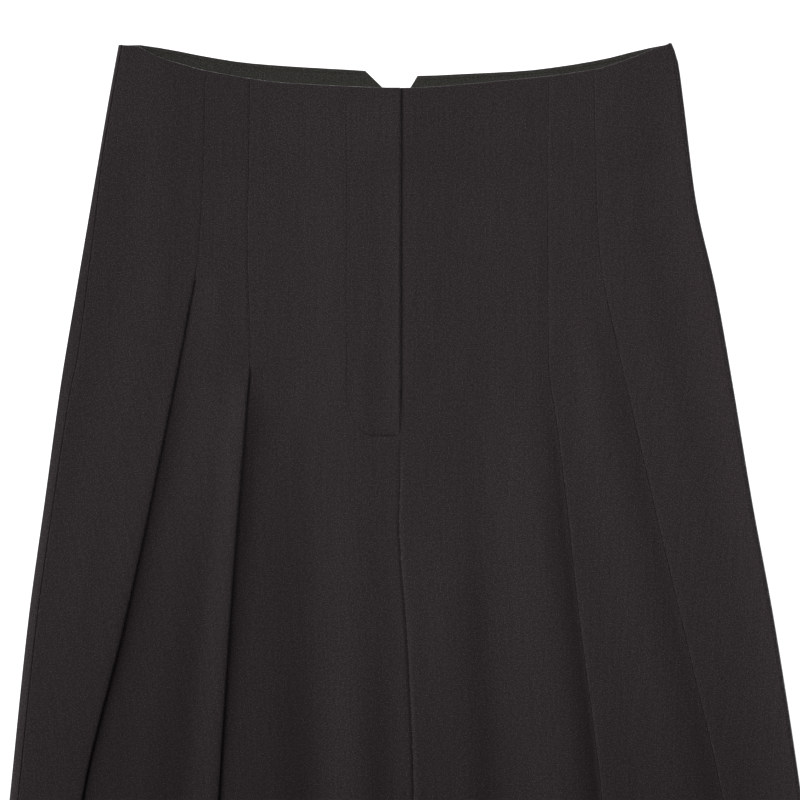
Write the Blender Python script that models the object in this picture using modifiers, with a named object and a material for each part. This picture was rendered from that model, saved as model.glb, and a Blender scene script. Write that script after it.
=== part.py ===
"""Palazzo trousers with stitched-down tucks that open into pleats, lying flat with the front up.

The origin is on the floor under the middle of the garment. +Y runs up the garment from hem to waist,
+Z is up, and the wearer's right leg is on the -X side. Sizes are in millimetres. Every panel is worked
out in two numbers: `out`, the distance from the fly line towards that panel's side seam, and `down`,
the distance below the front waist edge at the fly.
"""

import math
from collections import namedtuple

import bmesh
import bpy

MM = 0.001

# Cloth and how closely its layers lie.
WALL = 1.0            # thickness of one layer of cloth
SEAM_GAP = 0.3        # between two pieces that are sewn together
LAYER_PITCH = 1.5     # from the middle of one layer to the middle of the next
BACK_LEVEL = WALL / 2                        # middle of the back panels, which lie on the floor
FRONT_LEVEL = BACK_LEVEL + LAYER_PITCH       # middle of a front panel that lies on the back
SIDE_ROLL = 1.6       # radius of the soft roll where the back panel turns up at the side
SIDE_LEVEL = BACK_LEVEL + 2 * SIDE_ROLL      # middle of the cloth on top of that roll
SIDE_SETTLE = 6       # the front settles from the roll to its own level over this width
FLAP_MARGIN = 2.5     # a flap stays lifted this far past the cloth doubled back under it
FLAP_SETTLE = 20      # and settles to its own level over this width, or less where there isn't room

# Lengths down the garment.
HEM = 1106            # centre front, waist edge to hem
HEM_RISE = 16         # the hem curves up this much from the inseam to the side seam
WAIST_FADE = 120      # rows of points follow the curved waist edge, less and less, down to here
CROTCH = 345
FLY_BOTTOM = 229

# Waist edges: x across from the fly line, and down from the front edge at the fly.
FRONT_WAIST = ((-186, -29), (-174, -28), (-162, -21.8), (-148, -17), (-126, -11.2), (-74, -3.4),
               (0, 0), (64, -4.6), (127, -12.2), (150, -19), (166, -25.4), (179.5, -30))
BACK_WAIST = ((-186, -29), (-174, -29.3), (-155, -26.7), (-128, -21.5), (-102, -17.5), (-69, -14.9),
              (-23, -12.2), (11.6, -8.9), (43, -10.2), (82, -12.2), (109, -15.5), (135, -20),
              (162, -26.7), (179.5, -30))
NOTCH_RIGHT, NOTCH_LEFT = -23, 11.6          # top corners of the V at the centre back, x
NOTCH_FOOT = 10.2                            # the V's foot, down from the front edge

# The line where the two halves meet: down, x. It wanders a little, as the cloth lies.
CENTRE_LINE = ((0, 0.5), (229, 0), (290, -2), (320, 0), (345, 2.6), (385, 5.3), (470, 8.6), (HEM, 11))
LEG_PARTING = ((CROTCH, SEAM_GAP), (470, 1), (HEM, 12))     # down, gap between the legs

Leg = namedtuple("Leg", "name sign outline side_strip outer_fold inner_fold ridges fly_level fly_width")
Fold = namedtuple("Fold", "edge depth release opened")
Ridge = namedtuple("Ridge", "start out_start out_hem height width")

# Each fold: its edge as (down, out) points, how deep the cloth doubles back under it as (down, depth)
# points, where its stitching ends, and how far its edge stands up once it has opened.
RIGHT_OUTER = Fold(
    edge=((-11, 126.7), (74, 132), (120, 134), (166, 145.2), (232, 158.4), (298, 171.6), (357, 184.8),
          (470, 209.9), (700, 237), (HEM, 280)),
    depth=((0, 14), (120, 14), (300, 26), (470, 30), (HEM, 30)), release=120, opened=2.2)
RIGHT_INNER = Fold(
    edge=((-4, 99.7), (74, 100.3), (182, 99), (219, 101.6), (318, 108.9), (470, 118.1), (HEM, 156)),
    depth=((0, 14), (182, 14), (470, 26), (HEM, 34)), release=182, opened=2.2)
LEFT_INNER = Fold(
    edge=((-9, 98.3), (74, 97.7), (181, 98.3), (219, 103.6), (272, 110.2), (338, 117.5), (470, 134),
          (HEM, 185)),
    depth=((0, 14), (181, 14), (470, 24), (HEM, 32)), release=181, opened=1.4)
LEFT_OUTER = Fold(
    edge=((-13, 128.7), (40, 130.7), (106, 133.3), (123, 135.3), (172, 145.2), (272, 168.3),
          (377, 193.4), (470, 215.8), (700, 252), (HEM, 300)),
    depth=((0, 14), (123, 14), (300, 24), (470, 28), (HEM, 30)), release=123, opened=1.4)

# Soft ridges that the released fullness makes: where each starts, its place there and at the hem,
# and its height and half width at the hem.
RIGHT_RIDGES = (Ridge(270, 82, 118, 5, 30), Ridge(270, 30, 40, 4, 26), Ridge(300, 180, 215, 4, 26))
LEFT_RIDGES = (Ridge(280, 44, 62, 4.5, 26), Ridge(250, 90, 135, 4.5, 32), Ridge(300, 158, 222, 4, 24))

RIGHT_LEG = Leg(
    name="right", sign=-1,
    outline=((-29, 186.1), (8, 192.7), (74, 203.9), (133, 213.8), (192, 223.7), (272, 234.3),
             (351, 244.9), (470, 257.4), (HEM, 325)),
    side_strip=((60, 2.4), (95, 4.8), (150, 7.4), (180, 8.4), (202, 7), (300, 6.2), (HEM, 6)),
    outer_fold=RIGHT_OUTER, inner_fold=RIGHT_INNER, ridges=RIGHT_RIDGES, fly_level=3.7, fly_width=37)
LEFT_LEG = Leg(
    name="left", sign=1,
    outline=((-30, 179.5), (-19, 182.8), (8, 186.1), (74, 194.7), (133, 207.9), (192, 218.5),
             (272, 231.7), (351, 246.2), (470, 264.7), (HEM, 347)),
    side_strip=((0, 2.4), (HEM, 2.4)),
    outer_fold=LEFT_OUTER, inner_fold=LEFT_INNER, ridges=LEFT_RIDGES, fly_level=2.4, fly_width=6.5)

# Rows of points down the panels, closest where a tuck ends, at the fly's foot and at the crotch.
ROWS = (0, 10, 24, 38, 52, 66, 90, 120, 145, 166, 182, 205, 226, 234, 248, 262, 300, CROTCH, 385, 430,
        470, 560, 680, 820, 960, 1080, HEM)

# Back facing and the fly, which lie between the front and the back.
FACING_DEPTH = 45
FACING_EDGE_INSET = 0.8      # the facing's edge is rolled this far inside the waist edge
FACING_SIDE_INSET = 5
FACING_LEVEL = BACK_LEVEL + WALL + SEAM_GAP
FACING_RISE = WALL + SEAM_GAP                # how much the facing lifts what lies on it
FACING_RISE_END, FACING_RISE_FADE = 38, 28
FLY_UNDERLAP = 3.15          # how far the left front runs on under the fly
FLY_SETTLE = 24              # the cloth settles from the fly's layers over this width
UNDERLAP_END = 226           # the underlap is whole down to here, and gone at FLY_LAYERS_END
FLY_LAYERS_END, FLY_LEVEL_END = 234, 262     # below the fly the fronts come down to the back
FLY_FACING_WIDTH, FLY_FACING_CURVE = 35.5, 45
SHIELD_OUTER, SHIELD_INNER, SHIELD_END = -38, 5, 231
TAPE_THICK, TAPE_LEFT, TAPE_RIGHT = 0.8, -21, 5
TAPE_TOP, TAPE_END = 24, 222
SHIELD_LEVEL = BACK_LEVEL + LAYER_PITCH
TAPE_LEVEL = SHIELD_LEVEL + WALL / 2 + SEAM_GAP + TAPE_THICK / 2
FLY_FACING_LEVEL = TAPE_LEVEL + TAPE_THICK / 2 + SEAM_GAP + WALL / 2
SLIDER_BULGE, SLIDER_BULGE_RADIUS = 1.4, 22  # the slider and the hook lift the cloth over them
SLIDER_OUT, SLIDER_BULGE_DOWN = 8, 28
HEM_CURVE_START = 960        # rows follow the curved hem, more and more, from here down
STITCHING_FADE = 30          # a tuck's edge softens into its pleat over this length
PLEAT_OPENING = 260          # and its edge has risen to its full height this far down
TUCK_SHOULDER = 1.3 * LAYER_PITCH            # how far the cloth comes up beside a stitched tuck
SHOULDER_START, SHOULDER_TOP, SHOULDER_WIDTH = 4, 6, 25
RIDGE_RAMP = 3               # a ridge reaches its height over a third of its length
RIDGE_TOP_SHARE = 0.6        # height and width of its upper end, as a share of those at the hem

Look = namedtuple("Look", "red green blue roughness metallic")
CLOTH = Look(0.028, 0.024, 0.025, 0.9, 0)
CLOTH_INSIDE = Look(0.031, 0.028, 0.027, 0.9, 0)
TAPE = Look(0.015, 0.015, 0.016, 0.8, 0)
METAL = Look(0.05, 0.05, 0.055, 0.4, 1)


def clear_scene():
    for obj in list(bpy.data.objects):
        bpy.data.objects.remove(obj)


def smooth(value):
    """0 up to 1, level at both ends."""
    value = min(1, max(0, value))
    return value * value * (3 - 2 * value)


def slope_at(points, index):
    """Slope of the smooth curve at a point, level where the points turn back."""
    if index in (0, len(points) - 1):
        here, beside = (0, 1) if index == 0 else (-1, -2)
        return (points[beside][1] - points[here][1]) / (points[beside][0] - points[here][0])
    (x0, y0), (x1, y1), (x2, y2) = points[index - 1:index + 2]
    before, after = (y1 - y0) / (x1 - x0), (y2 - y1) / (x2 - x1)
    return 0 if before * after <= 0 else 2 * before * after / (before + after)


def curve(points, at):
    """Value at `at` on the smooth curve through the points, which doesn't overshoot them."""
    if at <= points[0][0]:
        return points[0][1]
    if at >= points[-1][0]:
        return points[-1][1]
    last = next(i for i, point in enumerate(points) if point[0] >= at)
    (x0, y0), (x1, y1) = points[last - 1], points[last]
    span = x1 - x0
    t = (at - x0) / span
    m0, m1 = slope_at(points, last - 1) * span, slope_at(points, last) * span
    return (y0 * (1 + 2 * t) * (1 - t) ** 2 + m0 * t * (1 - t) ** 2
            + y1 * t * t * (3 - 2 * t) + m1 * t * t * (t - 1))


def spread(start, end, count):
    """`count` values from start to end."""
    return [start + (end - start) * i / (count - 1) for i in range(count)]


# ---- where things lie in plan ----

def front_waist(x):
    return curve(FRONT_WAIST, x)


def back_waist(x):
    """The back waist edge, with the V at the centre back cut straight down from its two corners."""
    corner = NOTCH_RIGHT if x < CENTRE_LINE[0][1] else NOTCH_LEFT
    share = (x - corner) / (CENTRE_LINE[0][1] - corner)
    if share <= 0:
        return curve(BACK_WAIST, x)
    top = curve(BACK_WAIST, corner)
    return top + (NOTCH_FOOT - top) * share


def down_of(leg, out, row, waist=front_waist):
    """How far down a point of this row lies. Rows follow the waist edge at the top, the hem below."""
    waist_share = max(0, 1 - row / WAIST_FADE)
    hem_share = smooth((row - HEM_CURVE_START) / (HEM - HEM_CURVE_START))
    hem_lift = HEM_RISE * (max(0, out) / leg.outline[-1][1]) ** 2
    return row + waist(leg.sign * out) * waist_share - hem_lift * hem_share


def out_of(leg, points, row):
    """Where a line given as (down, out) points crosses this row."""
    out = curve(points, row)
    for _ in range(3):
        out = curve(points, down_of(leg, out, row))
    return out


def centre_out(leg, row):
    """A front or back panel's edge along the centre seam, or the inseam below the crotch."""
    return leg.sign * curve(CENTRE_LINE, row) + curve(LEG_PARTING, row) / 2


def seam_out(leg, row):
    side = out_of(leg, leg.outline, row)
    return side - curve(leg.side_strip, row)


# ---- how high the layers lie ----

def waist_rise(row):
    """The back facing lifts every layer above it."""
    return FACING_RISE * (1 - smooth((row - FACING_RISE_END) / FACING_RISE_FADE))


def slider_bulge(out, row):
    away = math.hypot(out - SLIDER_OUT, row - SLIDER_BULGE_DOWN) / SLIDER_BULGE_RADIUS
    return SLIDER_BULGE * math.exp(-away * away)


def ridge_height(ridge, out, row):
    along = (row - ridge.start) / (HEM - ridge.start)
    if along <= 0:
        return 0
    place = ridge.out_start + (ridge.out_hem - ridge.out_start) * along
    growth = RIDGE_TOP_SHARE + (1 - RIDGE_TOP_SHARE) * along
    away = (out - place) / (ridge.width * growth)
    return ridge.height * growth * smooth(along * RIDGE_RAMP) * math.exp(-away * away)


def ground(leg, out, row):
    """Middle of a single layer of the front, as it lies on what is below it."""
    over_fly = smooth(1 + (leg.fly_width - out) / FLY_SETTLE)
    over_fly *= 1 - smooth((row - FLY_LAYERS_END) / (FLY_LEVEL_END - FLY_LAYERS_END))
    bulge = slider_bulge(out, row) if leg.sign < 0 else 0
    level = FRONT_LEVEL + waist_rise(row) + leg.fly_level * over_fly + bulge
    return level + sum(ridge_height(ridge, out, row) for ridge in leg.ridges)


def stitched_share(fold, row):
    """1 where the tuck is stitched down, 0 where it has opened into a pleat."""
    return 1 - smooth((row - fold.release) / STITCHING_FADE)


def edge_lift(fold, depth, past, row):
    """How far an opened pleat stands up, highest at its fold edge and level again at its depth."""
    share = max(0, 1 - max(0, past) / depth)
    return fold.opened * smooth((row - fold.release) / PLEAT_OPENING) * share * share


def flap_lift(fold, edge, depth, out, row, room=FLAP_SETTLE):
    """How far the flap is lifted by the two layers under it. Beside them it settles within `room`."""
    past = out - edge
    over_layers = 1 - smooth((past - depth - FLAP_MARGIN) / min(room, FLAP_SETTLE))
    return 2 * LAYER_PITCH * over_layers + edge_lift(fold, depth, past, row)


def beside_tuck(fold, edge, out, row):
    """Where the tuck is stitched, the cloth beside it comes up level with the flap."""
    away = edge - out
    shoulder = smooth(away / SHOULDER_START) * (1 - smooth((away - SHOULDER_TOP) / SHOULDER_WIDTH))
    return TUCK_SHOULDER * stitched_share(fold, row) * shoulder


def half_turn(out, level, radius, faces_in):
    """Inner points of a half turn of cloth from `level` down to level - 2 radius, about `out`."""
    way = -1 if faces_in else 1
    turns = [math.radians(degrees) for degrees in (45, 90, 135)]
    return [(out + way * radius * math.sin(turn), level - radius + radius * math.cos(turn)) for turn in turns]


def pleat(leg, fold, row):
    """The doubled-back cloth at a fold: its edge, its depth, and its points from flap to lowest layer."""
    edge = out_of(leg, fold.edge, row)
    depth = curve(fold.depth, row)
    radius = LAYER_PITCH / 2
    near, far = edge + radius, edge + depth - radius

    def under(out):
        return ground(leg, out, row) + LAYER_PITCH + edge_lift(fold, depth, out - edge, row)

    points = [(near, under(near) + LAYER_PITCH)]
    points += half_turn(near, points[0][1], radius, True)
    points += [(out, under(out)) for out in spread(near, far, 4)]
    points += half_turn(far, under(far), radius, False)
    points.append((far, ground(leg, far, row)))
    return edge, depth, points


def front_section(leg, row):
    """One row of the front panel as (out, z) points, from the side seam to the centre."""
    outer_edge, outer_depth, outer = pleat(leg, leg.outer_fold, row)
    inner_edge, inner_depth, inner = pleat(leg, leg.inner_fold, row)
    seam = seam_out(leg, row) - SEAM_GAP / 2
    centre = centre_out(leg, row)
    if leg.sign > 0:
        centre -= FLY_UNDERLAP * (1 - smooth((row - UNDERLAP_END) / (FLY_LAYERS_END - UNDERLAP_END)))

    def outer_flap(out):
        level = ground(leg, out, row) + flap_lift(leg.outer_fold, outer_edge, outer_depth, out, row)
        return SIDE_LEVEL + (level - SIDE_LEVEL) * smooth((seam - out) / SIDE_SETTLE)

    def middle_part(out):
        room = outer_edge - 1 - inner_edge - inner_depth - FLAP_MARGIN
        lift = flap_lift(leg.inner_fold, inner_edge, inner_depth, out, row, room)
        return ground(leg, out, row) + lift + beside_tuck(leg.outer_fold, outer_edge, out, row)

    def centre_part(out):
        return ground(leg, out, row) + beside_tuck(leg.inner_fold, inner_edge, out, row)

    def run(outs, level):
        return [(out, level(out)) for out in outs]

    settled = seam - SIDE_SETTLE
    outer_lifted = min(outer_edge + outer_depth + FLAP_MARGIN, settled - 1)
    inner_lifted = min(inner_edge + inner_depth + FLAP_MARGIN, outer_edge - 8)
    points = run([seam, seam - 2, seam - 4], outer_flap)
    points += run(spread(settled, outer_lifted, 3), outer_flap)
    points += run([(outer_lifted + outer[0][0]) / 2], outer_flap) + outer
    points += run([(outer[-1][0] + outer_edge) / 2], lambda out: ground(leg, out, row))
    points += run([outer_edge + 0.5, outer_edge - 2], middle_part)
    points += run(spread(outer_edge - 5, inner_lifted, 5), middle_part)
    points += run([(inner_lifted + inner[0][0]) / 2], middle_part) + inner
    points += run([(inner[-1][0] + inner_edge) / 2], lambda out: ground(leg, out, row))
    points += run([inner_edge + 0.5, inner_edge - 2], centre_part)
    points += run(spread(inner_edge - 5, centre, 10), centre_part)
    return points


def back_section(leg, row):
    """One row of the back panel, from the centre out along the floor and up round the side."""
    centre = centre_out(leg, row)
    corner = max(leg.sign * (NOTCH_LEFT if leg.sign > 0 else NOTCH_RIGHT), centre + 5)
    turn = out_of(leg, leg.outline, row) - WALL / 2 - SIDE_ROLL
    seam = seam_out(leg, row) + SEAM_GAP / 2
    points = [(out, BACK_LEVEL) for out in [centre] + spread(corner, turn, 6)]
    points += half_turn(turn, SIDE_LEVEL, SIDE_ROLL, False)[::-1]
    return points + [(out, SIDE_LEVEL) for out in (turn, seam)]


# ---- solids ----

def material(name, look):
    made = bpy.data.materials.new(name)
    made.use_nodes = True
    shader = made.node_tree.nodes["Principled BSDF"]
    shader.inputs["Base Color"].default_value = (look.red, look.green, look.blue, 1)
    shader.inputs["Roughness"].default_value = look.roughness
    shader.inputs["Metallic"].default_value = look.metallic
    return made


def wall(name, rows, look, thickness=WALL):
    """A cloth wall through rows of (x, down, z) points, as an open surface with Solidify."""
    shape = bmesh.new()
    grid = [[shape.verts.new((x * MM, -down * MM, z * MM)) for x, down, z in row] for row in rows]
    for upper, lower in zip(grid, grid[1:]):
        for i in range(len(upper) - 1):
            shape.faces.new((upper[i], lower[i], lower[i + 1], upper[i + 1]))
    bmesh.ops.recalc_face_normals(shape, faces=shape.faces)
    mesh = bpy.data.meshes.new(name)
    shape.to_mesh(mesh)
    shape.free()
    obj = bpy.data.objects.new(name, mesh)
    mesh.materials.append(material(name, look))
    solid = obj.modifiers.new("cloth thickness", "SOLIDIFY")
    solid.thickness = thickness * MM
    solid.offset = 0
    solid.use_even_offset = True
    return obj


def panel(leg, part, section, waist=front_waist):
    rows = []
    for row in ROWS:
        rows.append([(leg.sign * out, down_of(leg, out, row, waist), z) for out, z in section(leg, row)])
    return wall(f"{leg.name}_{part}", rows, CLOTH)


def back_facing(leg):
    """Faces the back waist inside. It is cut straight along its lower edge, under the V."""
    corner = leg.sign * (NOTCH_LEFT if leg.sign > 0 else NOTCH_RIGHT)
    centre = centre_out(leg, 0)
    end = leg.outline[0][1] - FACING_SIDE_INSET
    outs = [centre, (centre + corner) / 2] + spread(corner, end, 9)
    rows = []
    for share in (0, 0.5, 1):
        row = []
        for out in outs:
            x = leg.sign * out
            top = back_waist(x) + FACING_EDGE_INSET
            bottom = curve(BACK_WAIST, x) + FACING_DEPTH
            row.append((x, top + (bottom - top) * share, FACING_LEVEL))
        rows.append(row)
    return wall(f"{leg.name}_back_facing", rows, CLOTH_INSIDE)


def fly_facing():
    """Behind the right front's fly edge, with the curved foot that the J stitching follows."""
    inner = 4
    rows = []
    for row in [r + 1 for r in ROWS if r < 190] + [200, 210, 218, 224, 227.5]:
        past = max(0, row - (FLY_BOTTOM - FLY_FACING_CURVE)) / FLY_FACING_CURVE
        outer = inner + (FLY_FACING_WIDTH - inner) * math.sqrt(1 - past * past)
        level = FLY_FACING_LEVEL + waist_rise(row)
        rows.append([(-out, down_of(RIGHT_LEG, out, row), level + slider_bulge(out, row))
                     for out in spread(inner, outer, 5)])
    return wall("fly_facing", rows, CLOTH_INSIDE)


def fly_shield():
    """The underlap on the left front, behind the zip."""
    rows = []
    for row in [r + 1 for r in ROWS if r < 220] + [SHIELD_END]:
        rows.append([(x, down_of(RIGHT_LEG, -x, row), SHIELD_LEVEL + waist_rise(row))
                     for x in spread(SHIELD_OUTER, SHIELD_INNER, 4)])
    return wall("fly_shield", rows, CLOTH_INSIDE)


def zip_tape():
    rows = []
    for row in [TAPE_TOP] + [r + 1 for r in ROWS if TAPE_TOP < r < 210] + [TAPE_END]:
        level = TAPE_LEVEL + waist_rise(row)
        rows.append([(x, row, level) for x in spread(TAPE_LEFT, TAPE_RIGHT, 3)])
    return wall("zip_tape", rows, TAPE, TAPE_THICK)


def plate(name, size, place, look, round_edge):
    """A small metal plate: size and place are (x, down, z) in millimetres."""
    bpy.ops.mesh.primitive_cube_add(size=1)
    obj = bpy.context.object
    obj.name = obj.data.name = name
    obj.data.materials.append(material(name, look))
    for vertex in obj.data.vertices:
        vertex.co = [part * length * MM for part, length in zip(vertex.co, size)]
    obj.location = (place[0] * MM, -place[1] * MM, place[2] * MM)
    bevel = obj.modifiers.new("rounded edges", "BEVEL")
    bevel.width = round_edge * MM
    bevel.segments = 2
    return obj


def join(target, tool, cutters):
    """Unites tool with target, and keeps the tool as a hidden helper."""
    union = target.modifiers.new(f"join {tool.name}", "BOOLEAN")
    union.operation = "UNION"
    union.object = tool
    tool.hide_render = True
    tool.display_type = "WIRE"
    for owner in list(tool.users_collection):
        owner.objects.unlink(tool)
    cutters.objects.link(tool)


def zip_slider(cutters):
    """The slider at the top of the tape, with its pull tab hanging down the zip."""
    low = TAPE_LEVEL - TAPE_THICK / 2 + FACING_RISE
    body_height, tab_height = 1.8, 0.6
    tab_low = TAPE_LEVEL + TAPE_THICK / 2 + SEAM_GAP + FACING_RISE
    body = plate("zip_slider", (7, 8, body_height), (-SLIDER_OUT, 19, low + body_height / 2), METAL, 0.4)
    tab = plate("pull_tab_shape", (4.5, 20, tab_height), (-SLIDER_OUT, 31, tab_low + tab_height / 2),
                METAL, 0.15)
    join(body, tab, cutters)
    return body


def hook_and_bar():
    """The flat hook under the fly facing and the bar on the shield, above the zip."""
    thick = 0.45
    bar_low = SHIELD_LEVEL + WALL / 2 + SEAM_GAP + FACING_RISE
    hook_low = bar_low + thick + SEAM_GAP
    bar = plate("waist_bar", (13, 5, thick), (-20, 10, bar_low + thick / 2), METAL, 0.1)
    hook = plate("waist_hook", (10, 8, thick), (-19, 10, hook_low + thick / 2), METAL, 0.1)
    return [bar, hook]


def stand_on_origin(parts):
    """Moves the garment so that the origin is under the middle of its box."""
    bpy.context.view_layer.update()
    graph = bpy.context.evaluated_depsgraph_get()
    corners = []
    for obj in parts:
        evaluated = obj.evaluated_get(graph)
        corners += [evaluated.matrix_world @ vertex.co for vertex in evaluated.data.vertices]
    middle = [(min(c[axis] for c in corners) + max(c[axis] for c in corners)) / 2 for axis in (0, 1)]
    origin = bpy.data.objects.new("trousers_origin", None)
    origin.location = (-middle[0], -middle[1], 0)
    return origin


def main():
    clear_scene()
    garment = bpy.data.collections.new("palazzo_trousers")
    cutters = bpy.data.collections.new("joining_shapes")
    for collection in (garment, cutters):
        bpy.context.scene.collection.children.link(collection)
    parts = []
    for leg in (RIGHT_LEG, LEFT_LEG):
        parts += [panel(leg, "front", front_section), panel(leg, "back", back_section, back_waist),
                  back_facing(leg)]
    parts += [fly_facing(), fly_shield(), zip_tape(), zip_slider(cutters)] + hook_and_bar()
    for obj in parts:
        for owner in list(obj.users_collection):
            owner.objects.unlink(obj)
        garment.objects.link(obj)
    origin = stand_on_origin(parts)
    garment.objects.link(origin)
    for obj in parts + list(cutters.objects):
        obj.parent = origin


main()
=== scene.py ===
"""Palazzo trousers lying flat: cloth panels with tucks that open into pleats, the fly, its zip and
the stitching.

Sizes are in millimetres. A panel is worked out in two numbers: `out`, the distance from the fly line towards
its side seam, and `down`, the distance below the front waist edge at the fly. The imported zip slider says
where both start. Heights are above the floor.
"""

import math
from collections import namedtuple

import bmesh
import bpy
from mathutils import Matrix, Vector, noise


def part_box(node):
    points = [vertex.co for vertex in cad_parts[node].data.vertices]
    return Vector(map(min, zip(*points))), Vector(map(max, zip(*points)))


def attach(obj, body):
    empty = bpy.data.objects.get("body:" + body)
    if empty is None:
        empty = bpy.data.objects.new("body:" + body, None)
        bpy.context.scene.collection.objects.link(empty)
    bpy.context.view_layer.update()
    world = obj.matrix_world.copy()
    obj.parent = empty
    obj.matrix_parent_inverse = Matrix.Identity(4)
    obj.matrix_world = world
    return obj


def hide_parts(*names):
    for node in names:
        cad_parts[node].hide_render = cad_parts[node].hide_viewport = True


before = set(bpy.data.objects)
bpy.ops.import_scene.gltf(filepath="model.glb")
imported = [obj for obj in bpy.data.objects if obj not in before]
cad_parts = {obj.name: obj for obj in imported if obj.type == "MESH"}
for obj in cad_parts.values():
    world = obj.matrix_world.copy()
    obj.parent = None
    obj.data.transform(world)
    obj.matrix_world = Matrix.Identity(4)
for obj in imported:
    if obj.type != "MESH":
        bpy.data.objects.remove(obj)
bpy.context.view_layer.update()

MM = 0.001
bpy.ops.object.select_all(action="DESELECT")

# Where the garment lies: the slider is 8 mm beside the fly line, its top edge 15 mm below the waist edge.
SLIDER_OUT, SLIDER_TOP = 8, 15
slider_low, slider_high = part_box("zip_slider")
FLY_X = (slider_low.x + slider_high.x) / 2 / MM + SLIDER_OUT
WAIST_Y = slider_high.y / MM + SLIDER_TOP

# Cloth and how closely its layers lie.
CLOTH = 0.6           # thickness of one layer
LAYER = 0.8           # from the middle of one layer to the middle of the next, where cloth is doubled
TURN = LAYER / 2      # radius of a folded edge
BACK_LEVEL = CLOTH / 2
FRONT_LEVEL = 2.0     # middle of a front panel where it lies lowest
SIDE_LEVEL = 3.7      # middle of the cloth on top of the roll at the side
SIDE_FLAT = 0.4       # the roll starts this far beside the side seam
SIDE_WEDGE = 1.6      # 1 makes the roll an oval, more gives it flatter slopes and a rounder edge
FLAP_MARGIN = 2.5     # a flap lies flat this far past the layers under it
FLAP_SETTLE = 34      # and comes down over this width
EDGE_ROUND = 0.9      # a turned edge is rounded over this width
SEAM_GAP = 0.1        # between the two panels of a seam
SIDE_DIP = 0.3        # how deep the cloth dips into a side seam

# How deep the cloth dips into the centre seam, as (down, depth) points from the foot of the fly.
CENTRE_DIP = ((234, 0), (246, 0.4), (275, 0.45), (300, 0.65))
CENTRE_DIP_WIDTH = 2.2

# Lengths down the garment.
HEM, HEM_RISE, HEM_CURVE_START = 1106, 16, 960    # the hem rises by 16 mm towards the side
HEM_DEPTH, HEM_STEP = 35, 0.35      # the turned-up hem, and how much it lifts the cloth over it
WAIST_FADE = 120      # rows follow the curve of the waist edge less and less down to here
CROTCH = 345
FLY_BOTTOM = 229

# Waist edges: x across from the fly line, and down from the front edge at the fly.
FRONT_WAIST = ((-186, -29), (-174, -28), (-162, -21.8), (-148, -17), (-126, -11.2), (-74, -3.4),
               (0, 0), (64, -4.6), (127, -12.2), (150, -19), (166, -25.4), (179.5, -30))
BACK_WAIST = ((-186, -29), (-174, -29.3), (-155, -26.7), (-128, -21.5), (-102, -17.5), (-69, -14.9),
              (-23, -12.2), (11.6, -8.9), (43, -10.2), (82, -12.2), (109, -15.5), (135, -20),
              (162, -26.7), (179.5, -30))
NOTCH_RIGHT, NOTCH_LEFT, NOTCH_FOOT = -23, 11.6, 10.2

# The fly line and the centre seam below it as (down, x) points, and the gaps between the legs as (down, gap).
CENTRE_LINE = ((0, 0), (215, -0.2), (240, 0.3), (256, 0.2), (272, -0.3), (286, -0.8), (300, 0), (316, 1.1),
               (345, 3.6), (385, 5.9), (470, 9.1), (HEM, 11.5))
LEG_PARTING = ((CROTCH, 0), (500, 0.1), (620, 2.5), (HEM, 12))
BACK_PARTING = ((500, 0), (620, 2.5), (HEM, 12))

Leg = namedtuple("Leg", "name sign outline side_strip side_rise side_settle "
                        "outer_fold inner_fold swells centre_swell")
Fold = namedtuple("Fold", "edge depth release step")
Swell = namedtuple("Swell", "path height")
Crease = namedtuple("Crease", "start end width height")
Lie = namedtuple("Lie", "leg row swells outer outer_depth inner inner_depth seam centre")

# Each fold: its edge as (down, out) points, how deep the cloth doubles back under it as (down, depth)
# points, where its stitching ends, and how far its edge stands above the cloth beside it, once it opens.
RIGHT_OUTER = Fold(
    edge=((-11, 126.2), (-2, 128.6), (34, 129), (74, 130.8), (113, 133.4), (126, 135.9), (140, 138.8),
          (166, 143.6), (232, 156.4), (298, 169.6), (357, 182.6), (470, 209.6), (700, 237), (HEM, 280)),
    depth=((0, 14), (120, 14), (300, 26), (470, 30), (HEM, 30)), release=120,
    step=((120, 0), (130, 1), (160, 1.4), (238, 1.7), (338, 1.9), (460, 1.6), (HEM, 2)))
RIGHT_INNER = Fold(
    edge=((-4, 98.9), (34, 99.5), (106, 100.5), (150, 99.3), (170, 98.8), (182, 99.2), (194, 100.3),
          (210, 101.7), (230, 103.1), (276, 106.7), (318, 110), (470, 120), (HEM, 156)),
    depth=((0, 14), (182, 14), (470, 26), (HEM, 34)), release=182,
    step=((182, 0), (190, 1.4), (210, 2), (300, 2.2), (380, 2), (460, 1.8), (HEM, 2)))
LEFT_INNER = Fold(
    edge=((-9, 98.3), (74, 97.7), (181, 98.3), (219, 103.6), (272, 110.2), (338, 117.5), (470, 134),
          (HEM, 185)),
    depth=((0, 14), (181, 14), (470, 24), (HEM, 32)), release=181,
    step=((181, 0), (230, 0.1), (338, 0.2), (460, 0.35), (HEM, 1.2)))
LEFT_OUTER = Fold(
    edge=((-13, 128), (40, 129), (60, 129.4), (106, 131.8), (123, 134), (172, 144.4), (272, 167.6),
          (377, 192.6), (470, 214), (700, 252), (HEM, 300)),
    depth=((0, 14), (123, 14), (300, 24), (470, 28), (HEM, 30)), release=123,
    step=((123, 0), (180, 0.1), (338, 0.2), (460, 0.35), (HEM, 1.2)))

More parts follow.
